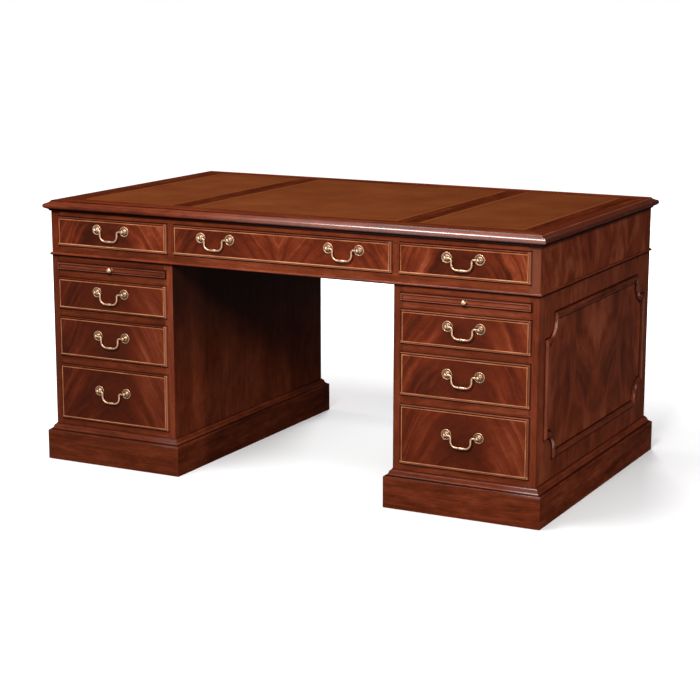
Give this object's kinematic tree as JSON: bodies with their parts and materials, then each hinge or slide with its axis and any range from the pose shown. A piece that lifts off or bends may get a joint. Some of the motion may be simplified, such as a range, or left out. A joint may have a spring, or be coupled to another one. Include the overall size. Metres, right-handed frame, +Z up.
{
  "type": "partners desk",
  "caption": "Pedestal partners desk with a leather-lined moulded top, frieze drawers, pedestal drawers, writing slides, rear cupboards and swinging brass bail handles.",
  "frame": {"origin": "middle of the footprint, on the floor", "axes": "+X along the desk's length to the right of a person who faces its main front, -Y out of the main front, +Z up"},
  "size_m": [1.542, 0.9296, 0.762],
  "materials": {
    "mahogany": "polished, red-brown",
    "flame_mahogany": "polished flame veneer with a pale stringing line",
    "leather": "tooled mid-brown hide",
    "brass": "aged, lightly polished"
  },
  "bodies": {
    "desk": {"top_board": "mahogany", "top_edging": "mahogany", "leathers": "leather", "frieze_frame": "mahogany", "frieze_case": "mahogany", "waist_bead": "mahogany", "left_pedestal_frame": "mahogany", "right_pedestal_frame": "mahogany", "left_pedestal_case": "mahogany", "right_pedestal_case": "mahogany", "left_plinth": "mahogany", "right_plinth": "mahogany", "panel_mouldings": "mahogany", "hinge_leaves": "brass"},
    "front_left_drawer": {"front_left_drawer": "flame_mahogany", "front_left_drawer_mounts": "brass"},
    "front_left_drawer_bail": {"front_left_drawer_bail": "brass"},
    "front_centre_drawer": {"front_centre_drawer": "flame_mahogany", "front_centre_drawer_mounts": "brass"},
    "front_centre_drawer_bail_left": {"front_centre_drawer_bail_left": "brass"},
    "front_centre_drawer_bail_right": {"front_centre_drawer_bail_right": "brass"},
    "front_right_drawer": {"front_right_drawer": "flame_mahogany", "front_right_drawer_mounts": "brass"},
    "front_right_drawer_bail": {"front_right_drawer_bail": "brass"},
    "rear_left_drawer": {"rear_left_drawer": "flame_mahogany", "rear_left_drawer_mounts": "brass"},
    "rear_left_drawer_bail": {"rear_left_drawer_bail": "brass"},
    "rear_centre_drawer": {"rear_centre_drawer": "flame_mahogany", "rear_centre_drawer_mounts": "brass"},
    "rear_centre_drawer_bail_left": {"rear_centre_drawer_bail_left": "brass"},
    "rear_centre_drawer_bail_right": {"rear_centre_drawer_bail_right": "brass"},
    "rear_right_drawer": {"rear_right_drawer": "flame_mahogany", "rear_right_drawer_mounts": "brass"},
    "rear_right_drawer_bail": {"rear_right_drawer_bail": "brass"},
    "left_top_drawer": {"left_top_drawer": "flame_mahogany", "left_top_drawer_mounts": "brass"},
    "left_top_drawer_bail": {"left_top_drawer_bail": "brass"},
    "left_middle_drawer": {"left_middle_drawer": "flame_mahogany", "left_middle_drawer_mounts": "brass"},
    "left_middle_drawer_bail": {"left_middle_drawer_bail": "brass"},
    "left_bottom_drawer": {"left_bottom_drawer": "flame_mahogany", "left_bottom_drawer_mounts": "brass"},
    "left_bottom_drawer_bail": {"left_bottom_drawer_bail": "brass"},
    "left_slide": {"left_slide": "mahogany", "left_slide_knob": "brass"},
    "left_door": {"left_door": "flame_mahogany", "left_door_fittings": "brass"},
    "right_top_drawer": {"right_top_drawer": "flame_mahogany", "right_top_drawer_mounts": "brass"},
    "right_top_drawer_bail": {"right_top_drawer_bail": "brass"},
    "right_middle_drawer": {"right_middle_drawer": "flame_mahogany", "right_middle_drawer_mounts": "brass"},
    "right_middle_drawer_bail": {"right_middle_drawer_bail": "brass"},
    "right_bottom_drawer": {"right_bottom_drawer": "flame_mahogany", "right_bottom_drawer_mounts": "brass"},
    "right_bottom_drawer_bail": {"right_bottom_drawer_bail": "brass"},
    "right_slide": {"right_slide": "mahogany", "right_slide_knob": "brass"},
    "right_door": {"right_door": "flame_mahogany", "right_door_fittings": "brass"}
  },
  "joints": [
    {"name": "front_left_drawer_slide", "type": "slide", "parent": "desk", "child": "front_left_drawer", "axis": [0, -1, 0], "range_m": [0, 0.3]},
    {"name": "front_left_drawer_bail_swing", "type": "hinge", "parent": "front_left_drawer", "child": "front_left_drawer_bail", "pos_m": [-0.542, -0.4593, 0.68775], "axis": [-1, 0, 0], "range_deg": [-15, 110]},
    {"name": "front_centre_drawer_slide", "type": "slide", "parent": "desk", "child": "front_centre_drawer", "axis": [0, -1, 0], "range_m": [0, 0.3]},
    {"name": "front_centre_drawer_bail_left_swing", "type": "hinge", "parent": "front_centre_drawer", "child": "front_centre_drawer_bail_left", "pos_m": [-0.198, -0.4593, 0.68775], "axis": [-1, 0, 0], "range_deg": [-15, 110]},
    {"name": "front_centre_drawer_bail_right_swing", "type": "hinge", "parent": "front_centre_drawer", "child": "front_centre_drawer_bail_right", "pos_m": [0.198, -0.4593, 0.68775], "axis": [-1, 0, 0], "range_deg": [-15, 110]},
    {"name": "front_right_drawer_slide", "type": "slide", "parent": "desk", "child": "front_right_drawer", "axis": [0, -1, 0], "range_m": [0, 0.3]},
    {"name": "front_right_drawer_bail_swing", "type": "hinge", "parent": "front_right_drawer", "child": "front_right_drawer_bail", "pos_m": [0.542, -0.4593, 0.68775], "axis": [-1, 0, 0], "range_deg": [-15, 110]},
    {"name": "rear_left_drawer_slide", "type": "slide", "parent": "desk", "child": "rear_left_drawer", "axis": [0, 1, 0], "range_m": [0, 0.3]},
    {"name": "rear_left_drawer_bail_swing", "type": "hinge", "parent": "rear_left_drawer", "child": "rear_left_drawer_bail", "pos_m": [-0.542, 0.4593, 0.68775], "axis": [1, 0, 0], "range_deg": [-15, 110]},
    {"name": "rear_centre_drawer_slide", "type": "slide", "parent": "desk", "child": "rear_centre_drawer", "axis": [0, 1, 0], "range_m": [0, 0.3]},
    {"name": "rear_centre_drawer_bail_left_swing", "type": "hinge", "parent": "rear_centre_drawer", "child": "rear_centre_drawer_bail_left", "pos_m": [-0.198, 0.4593, 0.68775], "axis": [1, 0, 0], "range_deg": [-15, 110]},
    {"name": "rear_centre_drawer_bail_right_swing", "type": "hinge", "parent": "rear_centre_drawer", "child": "rear_centre_drawer_bail_right", "pos_m": [0.198, 0.4593, 0.68775], "axis": [1, 0, 0], "range_deg": [-15, 110]},
    {"name": "rear_right_drawer_slide", "type": "slide", "parent": "desk", "child": "rear_right_drawer", "axis": [0, 1, 0], "range_m": [0, 0.3]},
    {"name": "rear_right_drawer_bail_swing", "type": "hinge", "parent": "rear_right_drawer", "child": "rear_right_drawer_bail", "pos_m": [0.542, 0.4593, 0.68775], "axis": [1, 0, 0], "range_deg": [-15, 110]},
    {"name": "left_top_drawer_slide", "type": "slide", "parent": "desk", "child": "left_top_drawer", "axis": [0, -1, 0], "range_m": [0, 0.4]},
    {"name": "left_top_drawer_bail_swing", "type": "hinge", "parent": "left_top_drawer", "child": "left_top_drawer_bail", "pos_m": [-0.54675, -0.4593, 0.508], "axis": [-1, 0, 0], "range_deg": [-15, 110]},
    {"name": "left_middle_drawer_slide", "type": "slide", "parent": "desk", "child": "left_middle_drawer", "axis": [0, -1, 0], "range_m": [0, 0.4]},
    {"name": "left_middle_drawer_bail_swing", "type": "hinge", "parent": "left_middle_drawer", "child": "left_middle_drawer_bail", "pos_m": [-0.54675, -0.4593, 0.3815], "axis": [-1, 0, 0], "range_deg": [-15, 110]},
    {"name": "left_bottom_drawer_slide", "type": "slide", "parent": "desk", "child": "left_bottom_drawer", "axis": [0, -1, 0], "range_m": [0, 0.4]},
    {"name": "left_bottom_drawer_bail_swing", "type": "hinge", "parent": "left_bottom_drawer", "child": "left_bottom_drawer_bail", "pos_m": [-0.54675, -0.4593, 0.22], "axis": [-1, 0, 0], "range_deg": [-15, 110]},
    {"name": "left_slide_pull", "type": "slide", "parent": "desk", "child": "left_slide", "axis": [0, -1, 0], "range_m": [0, 0.32]},
    {"name": "left_door_hinge", "type": "hinge", "parent": "desk", "child": "left_door", "pos_m": [-0.723, 0.444, 0.356], "axis": [0, 0, 1], "range_deg": [0, 110]},
    {"name": "right_top_drawer_slide", "type": "slide", "parent": "desk", "child": "right_top_drawer", "axis": [0, -1, 0], "range_m": [0, 0.4]},
    {"name": "right_top_drawer_bail_swing", "type": "hinge", "parent": "right_top_drawer", "child": "right_top_drawer_bail", "pos_m": [0.54675, -0.4593, 0.508], "axis": [-1, 0, 0], "range_deg": [-15, 110]},
    {"name": "right_middle_drawer_slide", "type": "slide", "parent": "desk", "child": "right_middle_drawer", "axis": [0, -1, 0], "range_m": [0, 0.4]},
    {"name": "right_middle_drawer_bail_swing", "type": "hinge", "parent": "right_middle_drawer", "child": "right_middle_drawer_bail", "pos_m": [0.54675, -0.4593, 0.3815], "axis": [-1, 0, 0], "range_deg": [-15, 110]},
    {"name": "right_bottom_drawer_slide", "type": "slide", "parent": "desk", "child": "right_bottom_drawer", "axis": [0, -1, 0], "range_m": [0, 0.4]},
    {"name": "right_bottom_drawer_bail_swing", "type": "hinge", "parent": "right_bottom_drawer", "child": "right_bottom_drawer_bail", "pos_m": [0.54675, -0.4593, 0.22], "axis": [-1, 0, 0], "range_deg": [-15, 110]},
    {"name": "right_slide_pull", "type": "slide", "parent": "desk", "child": "right_slide", "axis": [0, -1, 0], "range_m": [0, 0.32]},
    {"name": "right_door_hinge", "type": "hinge", "parent": "desk", "child": "right_door", "pos_m": [0.723, 0.444, 0.356], "axis": [0, 0, -1], "range_deg": [0, 110]}
  ]
}
